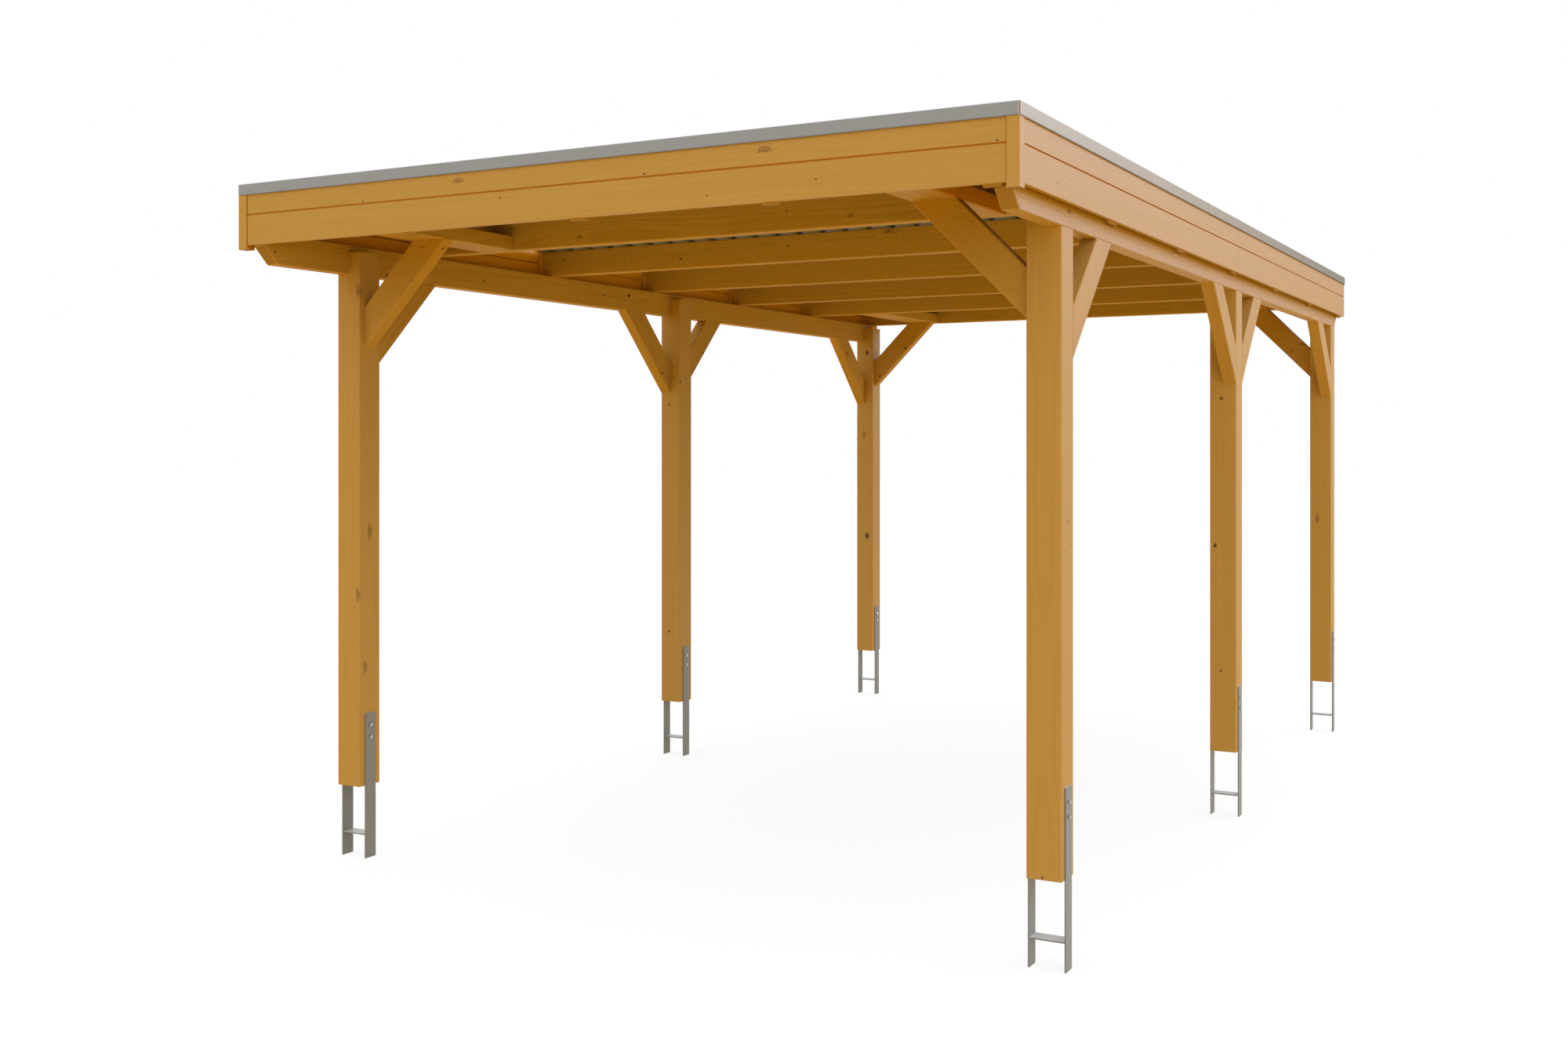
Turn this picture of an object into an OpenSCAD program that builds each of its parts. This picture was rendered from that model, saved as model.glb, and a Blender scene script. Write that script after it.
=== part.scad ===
// Single carport: six notched posts on H-anchors, two lines of beams, seven rafters,
// 45 degree braces, a boarded fascia on three sides and a ribbed metal roof.
// Millimetres. X across, Y from the entrance (-Y) to the rear, Z up from the anchor feet.

/* [Overall] */
// Roof width over the edge trims
roof_w = 3212; // [2600:2:4200]
// Roof length over the edge trims
roof_l = 5676; // [4600:2:7200]
// Underside of the beams above the anchor feet
beam_z = 2420; // [2000:10:3000]

/* [Posts] */
// Side of the square posts
post_w = 120; // [100:5:160]
// Front edge of the roof to the front posts
front_overhang = 496; // [300:1:900]
// Rear posts to the rear edge of the roof
rear_overhang = 120; // [100:1:400]
// Height of the post cheek that rises beside the beam
cheek_h = 90; // [40:1:110]
// Chamfer along the edges of the planed timbers
edge = 3; // [1:0.5:6]

/* [Anchors] */
// Height of the anchor straps
anchor_h = 600; // [400:10:800]
// Width of the anchor straps
anchor_w = 60; // [40:1:90]
// Thickness of the anchor steel
anchor_t = 5; // [4:0.5:10]
// Length of strap that clasps the post
anchor_lap = 300; // [150:10:350]
// Top of the crossbar above the anchor foot
crossbar_z = 100; // [40:5:200]

/* [Beams] */
// Thickness of the beams
beam_t = 60; // [45:1:80]
// Height of the beams
beam_h = 120; // [115:1:200]
// Size of the 45 degree cut under the front end of the beams
beam_front_cut = 66; // [20:1:90]
// Size of the 45 degree cut under the rear end of the beams
beam_rear_cut = 80; // [20:1:100]
// Open joint between the two lengths of each beam
beam_joint = 2; // [0.5:0.5:4]
// Radius where the end cuts meet the underside of the beams
beam_round = 15; // [5:1:30]

/* [Rafters] */
// Thickness of the rafters
rafter_t = 60; // [45:1:80]
// Height of the rafters
rafter_h = 120; // [80:1:200]
// Last rafter to the rear edge of the roof
rafter_rear = 40; // [20:1:80]

/* [Braces] */
// Thickness of the braces
brace_t = 60; // [40:1:80]
// Depth of the braces
brace_h = 120; // [80:1:140]
// Reach of each brace along the post and along the timber above it
brace_leg = 425; // [300:5:600]
// Height of the trimmers that carry the cross braces
trimmer_h = 60; // [40:1:100]

/* [Fascia] */
// Thickness of the fascia boards
board_t = 18; // [15:0.5:28]
// Height of the face of one fascia board
board_h = 115; // [90:1:150]
// Open joint between the lower and the upper board
board_gap = 5; // [1:0.5:6]
// Bevel on the upper outer edge of the lower board
board_bevel = 2; // [0.5:0.5:3]
// Open joint between board lengths, and beside the corner bars
butt_gap = 2; // [0.5:0.5:4]
// Outer face of the boards to the face of the tongue
tongue_face = 4; // [3:0.5:7]
// Thickness of the tongue on the lower board
tongue_t = 6; // [4:0.5:8]
// Height of the tongue above the edge of its board
tongue_h = 10; // [8:0.5:14]
// Play of the tongue in its groove
tongue_play = 0.5; // [0.2:0.1:1]
// Trim face to the outer face of the boards
board_inset = 5; // [4:0.5:12]
// Outer face of the corner bars in front of the boards
bar_proud = 3; // [0:0.5:3.5]
// Corner bars below the lower edge of the boards
bar_drop = 17; // [0:1:40]

/* [Battens] */
// Thickness of the battens behind the front boards
front_batten_t = 21; // [15:1:30]
// Width of the battens behind the front boards
front_batten_w = 60; // [40:1:100]
// Side edge of the roof to the middle of the outer front battens
front_batten_side = 97; // [80:1:200]
// Thickness of the battens on the rafter ends
side_batten_t = 18; // [12:0.5:30]
// Width of the battens on the rafter ends
side_batten_w = 95; // [60:1:120]
// Battens below the lower edge of the boards
batten_drop = 8; // [0:1:20]
// Top of the battens below the top of the boards
batten_head = 21; // [10:1:40]

/* [Roof sheets] */
// Thickness of the metal
sheet_t = 1; // [0.6:0.1:2]
// Spacing of the ribs
rib_pitch = 115; // [80:1:140]
// Height of the ribs
rib_h = 18; // [10:1:35]
// Width of the flat top of a rib
rib_top = 30; // [15:1:40]
// Run of each sloped side of a rib
rib_slope = 12; // [5:1:18]
// Play between lapped sheets and beside the battens
sheet_play = 0.2; // [0.1:0.1:1]
// Rear edge of the sheets to the rear edge of the roof
sheet_rear = 5; // [0:1:30]
// Width of the lip that laps onto the next sheet
sheet_lip = 8; // [4:1:20]

/* [Edge trim] */
// Height of the trim face
trim_h = 43; // [25:1:80]
// Thickness of the trim metal
trim_t = 2; // [1:0.5:3]
// Width of the leg on top of the boards
trim_top = 45; // [30:1:80]
// Top of the trim above the rafters
trim_rise = 66; // [40:1:120]
// Length of one trim piece on the sides
trim_l = 2272; // [1200:2:3000]
// Open joint between trim pieces, and at the mitred corners
trim_gap = 4; // [0.5:0.5:6]
// Chamfer along the upper outer edge of the trim
trim_bend = 1.5; // [0.5:0.1:1.8]

/* [Hidden] */
$fn = 48;

wood = [0.76, 0.56, 0.32];
steel = [0.55, 0.54, 0.50];
metal = [0.58, 0.59, 0.60];

// Oversize of cutting solids
cut = 10;

half_w = roof_w / 2;
half_l = roof_l / 2;

// Fascia stack, from the roof edge inwards
board_out = board_inset + board_t;
bar_out = board_inset - bar_proud;
bar_w = bar_proud + board_t + front_batten_t;
front_stop = -half_l + bar_out + bar_w;
batten_out = half_w - board_out;

// Posts
post_x = batten_out - side_batten_t;
post_in = post_x - post_w;
front_y = -half_l + front_overhang;
rear_y = half_l - rear_overhang - post_w;
middle_y = (front_y + rear_y) / 2;
post_z = anchor_h - anchor_lap;

// Timbers from the posts up
rafter_z = beam_z + beam_h;
sheet_z = rafter_z + rafter_h;
brace_seat = brace_h * sqrt(2);
trimmer_x = post_in - brace_leg;

// Heights of the fascia
trim_z = sheet_z + trim_rise;
board_top = trim_z - trim_t;
board_low = board_top - 2 * board_h - board_gap;
batten_low = board_low - batten_drop;
batten_top = board_top - batten_head;

// Each mitred trim end, back from the corner by its half of the open joint
mitre_back = trim_gap / sqrt(2);

// Rafters
rafter_n = 7;
rafter_end = half_l - rafter_rear;
rafter_pitch = (rafter_end - rafter_t - front_stop) / (rafter_n - 1);

// Beams
beam_split = middle_y + post_w;

// Roof sheets
rib_w = rib_top + 2 * rib_slope;
sheet_n = 3;
sheet_edge = post_x - sheet_play;
ribs = floor(2 * sheet_edge / rib_pitch);
rib_x0 = -(ribs * rib_pitch - rib_pitch + rib_w) / 2;
lap_z = sheet_t + sheet_play;

function rafter_y(i) = front_stop + i * rafter_pitch;

// Start of rib r across the roof
function rib_x(r) = rib_x0 + r * rib_pitch;

// Underside of one rib, lifted by lift where it laps over its neighbour
function rib_points(r, lift) = [
  [rib_x(r), lift],
  [rib_x(r) + rib_slope, rib_h + lift],
  [rib_x(r) + rib_slope + rib_top, rib_h + lift],
  [rib_x(r) + rib_w, 0]
];

function raised(points, dz) = [for (p = points) [p[0], p[1] + dz]];

function backwards(points) = [for (i = [len(points) - 1:-1:0]) points[i]];

// Rectangle with chamfered corners, from the origin
module planed(w, h) {
  polygon([
    [edge, 0], [w - edge, 0], [w, edge], [w, h - edge],
    [w - edge, h], [edge, h], [0, h - edge], [0, edge]
  ]);
}

// Planed timber along X, Y or Z, from the origin
module timber_x(l, w, h) {
  rotate([90, 0, 90]) linear_extrude(l) planed(w, h);
}

module timber_y(l, w, h) {
  translate([0, l, 0]) rotate([90, 0, 0]) linear_extrude(l) planed(w, h);
}

module timber_z(l, w, h) {
  linear_extrude(l) planed(w, h);
}

// Draws its children on the right, or mirrored on the left
module on_side(side) {
  if (side > 0) children();
  else mirror([1, 0, 0]) children();
}

// Draws its children running to the rear, or turned towards the entrance
module towards(way) {
  if (way > 0) children();
  else mirror([0, 1, 0]) children();
}

// Post with its outer half notched to seat the beam, the inner half rising as a cheek
module post(side, y) {
  on_side(side) color(wood) difference() {
    translate([post_in, y, post_z]) timber_z(beam_z + cheek_h - post_z, post_w, post_w);
    translate([post_x - beam_t, y - cut, beam_z]) cube([beam_t + cut, post_w + 2 * cut, cheek_h + cut]);
  }
}

// H-anchor: two straps that clasp the post and a crossbar between them
module anchor(side, y) {
  strap_y = y + (post_w - anchor_w) / 2;
  on_side(side) color(steel) union() {
    translate([post_x, strap_y, 0]) cube([anchor_t, anchor_w, anchor_h]);
    translate([post_in - anchor_t, strap_y, 0]) cube([anchor_t, anchor_w, anchor_h]);
    translate([post_in, strap_y, crossbar_z - anchor_t]) cube([post_w, anchor_w, anchor_t]);
  }
}

// Everything behind a 45 degree end cut that starts at y = 0, its edges chamfered like the timber's
module behind_end_cut(size) {
  translate([0, size, 0]) rotate([-45, 0, 0]) translate([0, -roof_l, 0])
    timber_y(2 * roof_l, beam_t, roof_l);
}

// Side view of a beam with its end cut rounded into the underside, extruded through its thickness
module beam_side(size) {
  tangent = beam_round * tan(22.5);
  translate([-cut, 0, 0]) rotate([90, 0, 90]) linear_extrude(beam_t + 2 * cut) {
    polygon([
      [size + tangent, 0], [roof_l, 0], [roof_l, beam_h], [0, beam_h],
      [0, size], [size - tangent / sqrt(2), tangent / sqrt(2)]
    ]);
    translate([size + tangent, beam_round]) circle(beam_round);
  }
}

// Beam from its cut end at end_y, running l towards the rear (way 1) or the entrance (way -1)
module beam(side, end_y, way, l, size) {
  on_side(side) color(wood) translate([post_x - beam_t, end_y, beam_z]) towards(way) intersection() {
    timber_y(l, beam_t, beam_h);
    behind_end_cut(size);
    beam_side(size);
  }
}

module front_beam(side) {
  beam(side, front_stop, 1, beam_split - front_stop, beam_front_cut);
}

module rear_beam(side) {
  beam(side, rafter_end, -1, rafter_end - beam_split - beam_joint, beam_rear_cut);
}

module rafter(i) {
  color(wood) translate([-post_x, rafter_y(i), rafter_z]) timber_x(2 * post_x, rafter_t, rafter_h);
}

// Brace in the XZ plane: foot on a face at x = 0, head under a face at z = 0, running to +X
module brace() {
  foot_z = -brace_leg;
  intersection() {
    rotate([0, -45, 0]) translate([foot_z / sqrt(2), 0, -brace_leg / sqrt(2)])
      timber_x(3 * brace_leg, brace_t, brace_h);
    translate([0, -cut, foot_z - cut]) cube([brace_leg + cut, brace_t + 2 * cut, brace_leg + cut]);
  }
}

// Brace from a post towards the rear or the entrance, under the beam
module side_brace(y, way) {
  color(wood) translate([post_x, y, beam_z]) towards(way) rotate([0, 0, 90]) brace();
}

module side_braces(side) {
  on_side(side) {
    side_brace(front_y + post_w, 1);
    side_brace(middle_y, -1);
    side_brace(middle_y + post_w, 1);
    side_brace(rear_y, -1);
  }
}

// Braces from a pair of posts across the bay, under the trimmers
module cross_braces(y) {
  for (side = [-1, 1])
    on_side(side) color(wood) translate([post_in, y + (post_w - brace_t) / 2, rafter_z])
      mirror([1, 0, 0]) brace();
}

// Trimmers between rafters i and i + 1, over the heads of the cross braces
module trimmers(i) {
  for (side = [-1, 1])
    on_side(side) color(wood) translate([trimmer_x, rafter_y(i) + rafter_t, rafter_z])
      timber_y(rafter_pitch - rafter_t, brace_seat, trimmer_h);
}

// Board sections: thickness from the outer face inwards, height from the lower edge
module lower_section() {
  polygon([
    [0, 0], [board_t, 0], [board_t, board_h], [board_bevel, board_h], [0, board_h - board_bevel]
  ]);
  translate([tongue_face, 0]) square([tongue_t, board_h + tongue_h]);
}

module upper_section() {
  groove = tongue_t + 2 * tongue_play;
  difference() {
    square([board_t, board_h]);
    translate([tongue_face - tongue_play, -cut])
      square([groove, cut + tongue_h - board_gap + tongue_play]);
  }
}

module front_board(z) {
  l = 2 * (half_w - bar_out - bar_w - butt_gap);
  color(wood) translate([-l / 2, -half_l + board_inset, z])
    rotate([90, 0, 90]) linear_extrude(l) children();
}

module side_boards(side, z) {
  on_side(side) color(wood) difference() {
    translate([half_w - board_inset, front_stop, z]) mirror([1, 0, 0])
      translate([0, half_l - front_stop, 0]) rotate([90, 0, 0])
      linear_extrude(half_l - front_stop) children();
    translate([half_w - board_out - cut, -butt_gap / 2, z - cut])
      cube([board_out + 2 * cut, butt_gap, 2 * (board_h + cut)]);
  }
}

module corner_bars() {
  for (side = [-1, 1])
    on_side(side) color(wood)
      translate([half_w - bar_out - bar_w, -half_l + bar_out, board_low - bar_drop])
      cube([bar_w, bar_w, board_top - board_low + bar_drop]);
}

module front_batten_row() {
  pitch = (half_w - front_batten_side) / 2;
  for (k = [-2:2])
    color(wood)
      translate([k * pitch - front_batten_w / 2, front_stop - front_batten_t, batten_low])
      cube([front_batten_w, front_batten_t, batten_top - batten_low]);
}

module side_batten_row(side) {
  for (i = [1:rafter_n - 1])
    on_side(side) color(wood)
      translate([post_x, rafter_y(i) + (rafter_t - side_batten_w) / 2, batten_low])
      cube([batten_out - post_x, side_batten_w, batten_top - batten_low]);
}

// Ribbed sheet s, counted from the left: its first rib laps over the sheet before it,
// and the flat top of its last rib lies under the next one
module roof_sheet(s) {
  first = floor(ribs * s / sheet_n);
  last = floor(ribs * (s + 1) / sheet_n) - 1;
  start = s == 0 ? [-sheet_edge, 0] : [rib_x(first) - sheet_lip, lap_z];
  under = rib_points(last + 1, 0);
  finish = s == sheet_n - 1 ? [[sheet_edge, 0]] : [under[0], under[1], under[2]];
  profile = concat(
    [start],
    rib_points(first, s == 0 ? 0 : lap_z),
    [for (r = [first + 1:last]) each rib_points(r, 0)],
    finish
  );
  y0 = front_stop + sheet_play;
  y1 = half_l - sheet_rear;
  color(metal) translate([0, y1, sheet_z]) rotate([90, 0, 0]) linear_extrude(y1 - y0)
    polygon(concat(profile, backwards(raised(profile, sheet_t))));
}

// Trim section: depth from the roof edge inwards, height from the lower edge of the face,
// with a lip below that meets the corner bars
module trim_section() {
  difference() {
    union() {
      square([trim_t, trim_h]);
      square([bar_out, trim_t]);
      translate([0, trim_h - trim_t]) square([trim_top, trim_t]);
    }
    translate([0, trim_h]) rotate(45) square(trim_bend * sqrt(2), center = true);
  }
}

module front_trim() {
  reach = trim_top + cut;
  end_x = half_w - mitre_back;
  color(metal) difference() {
    intersection() {
      translate([-half_w, -half_l, trim_z - trim_h]) rotate([90, 0, 90])
        linear_extrude(roof_w) trim_section();
      translate([0, 0, trim_z - trim_h - cut]) linear_extrude(trim_h + 2 * cut) polygon([
        [-end_x, -half_l], [end_x, -half_l],
        [end_x - reach, -half_l + reach], [-end_x + reach, -half_l + reach]
      ]);
    }
    translate([-trim_gap / 2, -half_l - cut, trim_z - trim_h - cut])
      cube([trim_gap, trim_top + 2 * cut, trim_h + 2 * cut]);
  }
}

module side_trim(side) {
  reach = trim_top + cut;
  end_y = -half_l + mitre_back;
  on_side(side) color(metal) difference() {
    intersection() {
      translate([half_w, half_l, trim_z - trim_h]) mirror([1, 0, 0]) rotate([90, 0, 0])
        linear_extrude(roof_l) trim_section();
      translate([0, 0, trim_z - trim_h - cut]) linear_extrude(trim_h + 2 * cut) polygon([
        [half_w, end_y], [half_w, half_l],
        [half_w - reach, half_l], [half_w - reach, end_y + reach]
      ]);
    }
    for (y = [-half_l + trim_l:trim_l:half_l - trim_top])
      translate([half_w - trim_top - cut, y - trim_gap / 2, trim_z - trim_h - cut])
        cube([trim_top + 2 * cut, trim_gap, trim_h + 2 * cut]);
  }
}

post(-1, front_y);  // front_left_post
post(1, front_y);  // front_right_post
post(-1, middle_y);  // middle_left_post
post(1, middle_y);  // middle_right_post
post(-1, rear_y);  // rear_left_post
post(1, rear_y);  // rear_right_post
anchor(-1, front_y);  // front_left_anchor
anchor(1, front_y);  // front_right_anchor
anchor(-1, middle_y);  // middle_left_anchor
anchor(1, middle_y);  // middle_right_anchor
anchor(-1, rear_y);  // rear_left_anchor
anchor(1, rear_y);  // rear_right_anchor
front_beam(-1);  // left_front_beam
rear_beam(-1);  // left_rear_beam
front_beam(1);  // right_front_beam
rear_beam(1);  // right_rear_beam
rafter(0);  // rafter_1
rafter(1);  // rafter_2
rafter(2);  // rafter_3
rafter(3);  // rafter_4
rafter(4);  // rafter_5
rafter(5);  // rafter_6
rafter(6);  // rafter_7
side_braces(-1);  // left_side_braces
side_braces(1);  // right_side_braces
cross_braces(front_y);  // front_cross_braces
cross_braces(rear_y);  // rear_cross_braces
trimmers(0);  // front_trimmers
trimmers(rafter_n - 2);  // rear_trimmers
front_board(board_low) lower_section();  // front_fascia_lower
front_board(board_top - board_h) upper_section();  // front_fascia_upper
side_boards(-1, board_low) lower_section();  // left_fascia_lower
side_boards(-1, board_top - board_h) upper_section();  // left_fascia_upper
side_boards(1, board_low) lower_section();  // right_fascia_lower
side_boards(1, board_top - board_h) upper_section();  // right_fascia_upper
corner_bars();  // front_corner_bars
front_batten_row();  // front_battens
side_batten_row(-1);  // left_battens
side_batten_row(1);  // right_battens
roof_sheet(0);  // left_roof_sheet
roof_sheet(1);  // middle_roof_sheet
roof_sheet(2);  // right_roof_sheet
front_trim();
side_trim(-1);  // left_trim
side_trim(1);  // right_trim
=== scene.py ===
"""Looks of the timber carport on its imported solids: oiled softwood with grain and knots, galvanised
anchors, grey sheet metal, the anchor bolts, roof screws and trim sleeves, and a white studio."""

import math

import bmesh
import bpy
from mathutils import Matrix, Vector


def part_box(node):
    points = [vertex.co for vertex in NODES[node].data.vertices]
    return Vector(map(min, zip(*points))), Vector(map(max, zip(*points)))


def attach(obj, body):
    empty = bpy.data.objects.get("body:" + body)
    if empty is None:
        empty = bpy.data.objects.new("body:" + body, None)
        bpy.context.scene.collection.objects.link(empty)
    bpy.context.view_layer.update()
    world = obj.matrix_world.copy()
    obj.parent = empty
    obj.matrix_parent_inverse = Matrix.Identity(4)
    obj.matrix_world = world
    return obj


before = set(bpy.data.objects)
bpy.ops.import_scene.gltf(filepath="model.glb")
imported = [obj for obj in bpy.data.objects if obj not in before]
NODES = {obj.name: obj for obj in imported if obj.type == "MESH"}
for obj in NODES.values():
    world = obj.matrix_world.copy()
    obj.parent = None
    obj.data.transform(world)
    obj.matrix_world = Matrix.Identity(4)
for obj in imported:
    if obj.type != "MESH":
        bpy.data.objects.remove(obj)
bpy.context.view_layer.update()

X, Y, Z = 0, 1, 2
ROOT_HALF = math.sqrt(0.5)

# Places that the solids share, in metres.
POST_X, POST_W = 1.565, 0.12
POST_Y = (-2.282, 0.188, 2.658)
HALF_BAY = (POST_Y[1] - POST_Y[0]) / 2
STRAP_T = 0.005
BOLT_Z = (0.55, 0.50)
RAFTERS, RAFTER_1_Y, RAFTER_PITCH = 7, -2.764, 0.922
TROUGHS, TROUGH_X0, TROUGH_PITCH, TROUGH_Z = 26, -1.4375, 0.115, 2.661
TRIM_IN_X, TRIM_IN_Y = 1.604, 2.836
TRIM_JOINT_Y = (-0.566, 1.706)
FASCIA_Y, FASCIA_X = -2.833, 1.601


class Graph:
    """Short calls for building a node tree."""

    def __init__(self, tree):
        self.tree = tree

    def put(self, value, socket):
        if isinstance(value, bpy.types.NodeSocket):
            self.tree.links.new(value, socket)
        else:
            socket.default_value = value

    def node(self, kind, inputs=None, **settings):
        made = self.tree.nodes.new(kind)
        for key, value in settings.items():
            setattr(made, key, value)
        for key, value in (inputs or {}).items():
            self.put(value, made.inputs[key])
        return made

    def group(self, tree, inputs):
        return self.node("ShaderNodeGroup", inputs, node_tree=tree).outputs

    def math(self, operation, *values, clamp=False):
        made = self.node("ShaderNodeMath", operation=operation, use_clamp=clamp)
        for i, value in enumerate(values):
            self.put(value, made.inputs[i])
        return made.outputs[0]

    def vmath(self, operation, *values, out="Vector"):
        made = self.node("ShaderNodeVectorMath", operation=operation)
        for i, value in enumerate(values):
            self.put(value, made.inputs[i])
        return made.outputs[out]

    def length(self, vector):
        return self.vmath("LENGTH", vector, out="Value")

    def scaled(self, vector, factor):
        made = self.node("ShaderNodeVectorMath", {0: vector, "Scale": factor}, operation="SCALE")
        return made.outputs["Vector"]

    def join(self, x, y, z):
        return self.node("ShaderNodeCombineXYZ", {"X": x, "Y": y, "Z": z}).outputs[0]

    def split(self, vector):
        return self.node("ShaderNodeSeparateXYZ", {0: vector}).outputs

    def normal(self):
        return self.split(self.node("ShaderNodeNewGeometry").outputs["True Normal"])

    def noise(self, vector, scale, detail=2.0, rough=0.5, out="Fac"):
        inputs = {"Vector": vector, "Scale": scale, "Detail": detail, "Roughness": rough}
        return self.node("ShaderNodeTexNoise", inputs).outputs[out]

    def span(self, value, low, high, to_low=0.0, to_high=1.0):
        """value from low..high to to_low..to_high, smooth and held at the ends."""
        inputs = {0: value, 1: low, 2: high, 3: to_low, 4: to_high}
        made = self.node("ShaderNodeMapRange", inputs, interpolation_type="SMOOTHSTEP")
        return made.outputs[0]

    def mix(self, factor, a, b):
        made = self.node("ShaderNodeMix", data_type="RGBA")
        for i, value in ((0, factor), (6, a), (7, b)):
            self.put(value, made.inputs[i])
        return made.outputs[2]


def rgb(r, g, b):
    return (r, g, b, 1.0)


def times(colour, gain):
    return rgb(*[c * gain for c in colour])


VECTOR, FLOAT = "NodeSocketVector", "NodeSocketFloat"


def new_group(name, inputs, outputs):
    """A shader group and its Graph, with (name, socket type) lists for its two ends."""
    tree = bpy.data.node_groups.new(name, "ShaderNodeTree")
    for label, kind in inputs:
        tree.interface.new_socket(label, in_out="INPUT", socket_type=kind)
    for label, kind in outputs:
        tree.interface.new_socket(label, in_out="OUTPUT", socket_type=kind)
    g = Graph(tree)
    return tree, g, g.node("NodeGroupInput").outputs, g.node("NodeGroupOutput").inputs


def new_material(name):
    """A material, its Graph, its shader and the place on the object."""
    mat = bpy.data.materials.new(name)
    mat.use_nodes = True
    g = Graph(mat.node_tree)
    where = g.node("ShaderNodeTexCoord").outputs["Object"]
    return mat, g, g.tree.nodes["Principled BSDF"].inputs, where


# Stretch of the grain's noises along and across the timber, per metre.
WANDER_STRETCH, WANDER_REACH = (0.8, 3.0, 3.0), 0.06
FIBRE_STRETCH = (2.0, 210.0, 210.0)
STREAK_STRETCH = (0.6, 42.0, 42.0)
CLOUD_STRETCH = (0.8, 3.5, 3.5)
RINGS_PER_M, UNEVEN_RINGS, UNEVEN_SCALE = 110.0, 6.0, 14.0
LATE_STARTS, LATE_ENDS = (0.35, 0.88), (0.90, 1.0)


def make_grain_group():
    """Growth rings round the pith plus fibres along it. Place is (along, across, across) from the
    pith; Bulge is how far a knot pushes the rings aside."""
    tree, g, given, result = new_group(
        "grain", [("Place", VECTOR), ("Seed", FLOAT), ("Bulge", FLOAT)],
        [("Ring", FLOAT), ("Fibre", FLOAT), ("Streak", FLOAT), ("Cloud", FLOAT)])
    place = g.vmath("ADD", given["Place"], g.join(given["Seed"], 0.0, 0.0))
    wander = g.noise(g.vmath("MULTIPLY", place, WANDER_STRETCH), 1.0, out="Color")
    wander = g.scaled(g.vmath("SUBTRACT", wander, (0.5, 0.5, 0.5)), WANDER_REACH)
    across = g.vmath("MULTIPLY", g.vmath("ADD", given["Place"], wander), (0.0, 1.0, 1.0))
    radius = g.math("ADD", g.length(across), given["Bulge"])
    uneven = g.noise(g.join(g.math("MULTIPLY", radius, UNEVEN_SCALE), given["Seed"], 0.0), 1.0)
    phase = g.math("ADD", g.math("MULTIPLY", radius, RINGS_PER_M),
                   g.math("MULTIPLY", uneven, UNEVEN_RINGS))
    turn = g.math("FRACT", phase)
    late = g.math("MULTIPLY", g.span(turn, *LATE_STARTS), g.span(turn, *LATE_ENDS, 1.0, 0.0))
    g.put(late, result["Ring"])
    bent = g.vmath("ADD", place, g.join(0.0, given["Bulge"], 0.0))
    fibre = g.noise(g.vmath("MULTIPLY", bent, FIBRE_STRETCH), 1.0, detail=4.0, rough=0.6)
    g.put(fibre, result["Fibre"])
    streak = g.noise(g.vmath("MULTIPLY", bent, STREAK_STRETCH), 1.0, detail=3.0, rough=0.6)
    g.put(streak, result["Streak"])
    g.put(g.noise(g.vmath("MULTIPLY", place, CLOUD_STRETCH), 1.0), result["Cloud"])
    return tree


# A knot's parts, as shares of its radius.
RAGGED_SCALE, RAGGED_RIM, RAGGED_CUT = 150.0, 0.65, 0.3
SOLID_RIM = (0.55, 1.05)
MOON_RIM, MOON_CUT = (0.92, 1.12), (-0.22, 0.05)
ARC_TURNS, ARC_SWING, ARC_MEAN, ARC_FADE = 18.0, -0.48, 0.60, -0.40
HALO_RIM, HALO_MARK = (0.8, 1.7), 0.14
PUSH_RIM, PUSH = (0.4, 3.5), 0.5


def make_knot_group():
    """One knot at Centre: Mark is its darkness and Bulge its push on the rings. Eye is 0 for a solid
    dark knot and 1 for a half moon of arcs, the half that lies towards Crown."""
    tree, g, given, result = new_group(
        "knot", [("Place", VECTOR), ("Centre", VECTOR), ("Flow", VECTOR), ("Crown", VECTOR),
                 ("Size", FLOAT), ("Eye", FLOAT)],
        [("Mark", FLOAT), ("Bulge", FLOAT)])
    away = g.vmath("SUBTRACT", given["Place"], given["Centre"])
    drawn = g.length(g.vmath("MULTIPLY", away, given["Flow"]))
    ragged = g.math("SUBTRACT", g.noise(given["Place"], RAGGED_SCALE), 0.5)
    reach = g.math("MULTIPLY_ADD", ragged, RAGGED_RIM, g.math("DIVIDE", drawn, given["Size"]))
    solid = g.span(reach, *SOLID_RIM, 1.0, 0.0)
    lift = g.vmath("DOT_PRODUCT", away, given["Crown"], out="Value")
    lift = g.math("MULTIPLY_ADD", ragged, RAGGED_CUT, g.math("DIVIDE", lift, given["Size"]))
    wave = g.math("COSINE", g.math("MULTIPLY", reach, ARC_TURNS))
    arcs = g.math("MULTIPLY", g.math("MULTIPLY_ADD", wave, ARC_SWING, ARC_MEAN),
                  g.math("MULTIPLY_ADD", reach, ARC_FADE, 1.0))
    moon = g.math("MULTIPLY", arcs, g.span(reach, *MOON_RIM, 1.0, 0.0))
    halo = g.span(reach, *HALO_RIM, HALO_MARK, 0.0)
    eye = g.math("MULTIPLY", g.span(lift, *MOON_CUT), g.math("MAXIMUM", moon, halo))
    pick = g.node("ShaderNodeMix", {0: given["Eye"], 2: solid, 3: eye}, data_type="FLOAT")
    g.put(pick.outputs[0], result["Mark"])
    push = g.math("MULTIPLY", g.span(reach, *PUSH_RIM, PUSH, 0.0), given["Size"])
    g.put(push, result["Bulge"])
    return tree


GRAIN = make_grain_group()
KNOT = make_knot_group()

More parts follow.
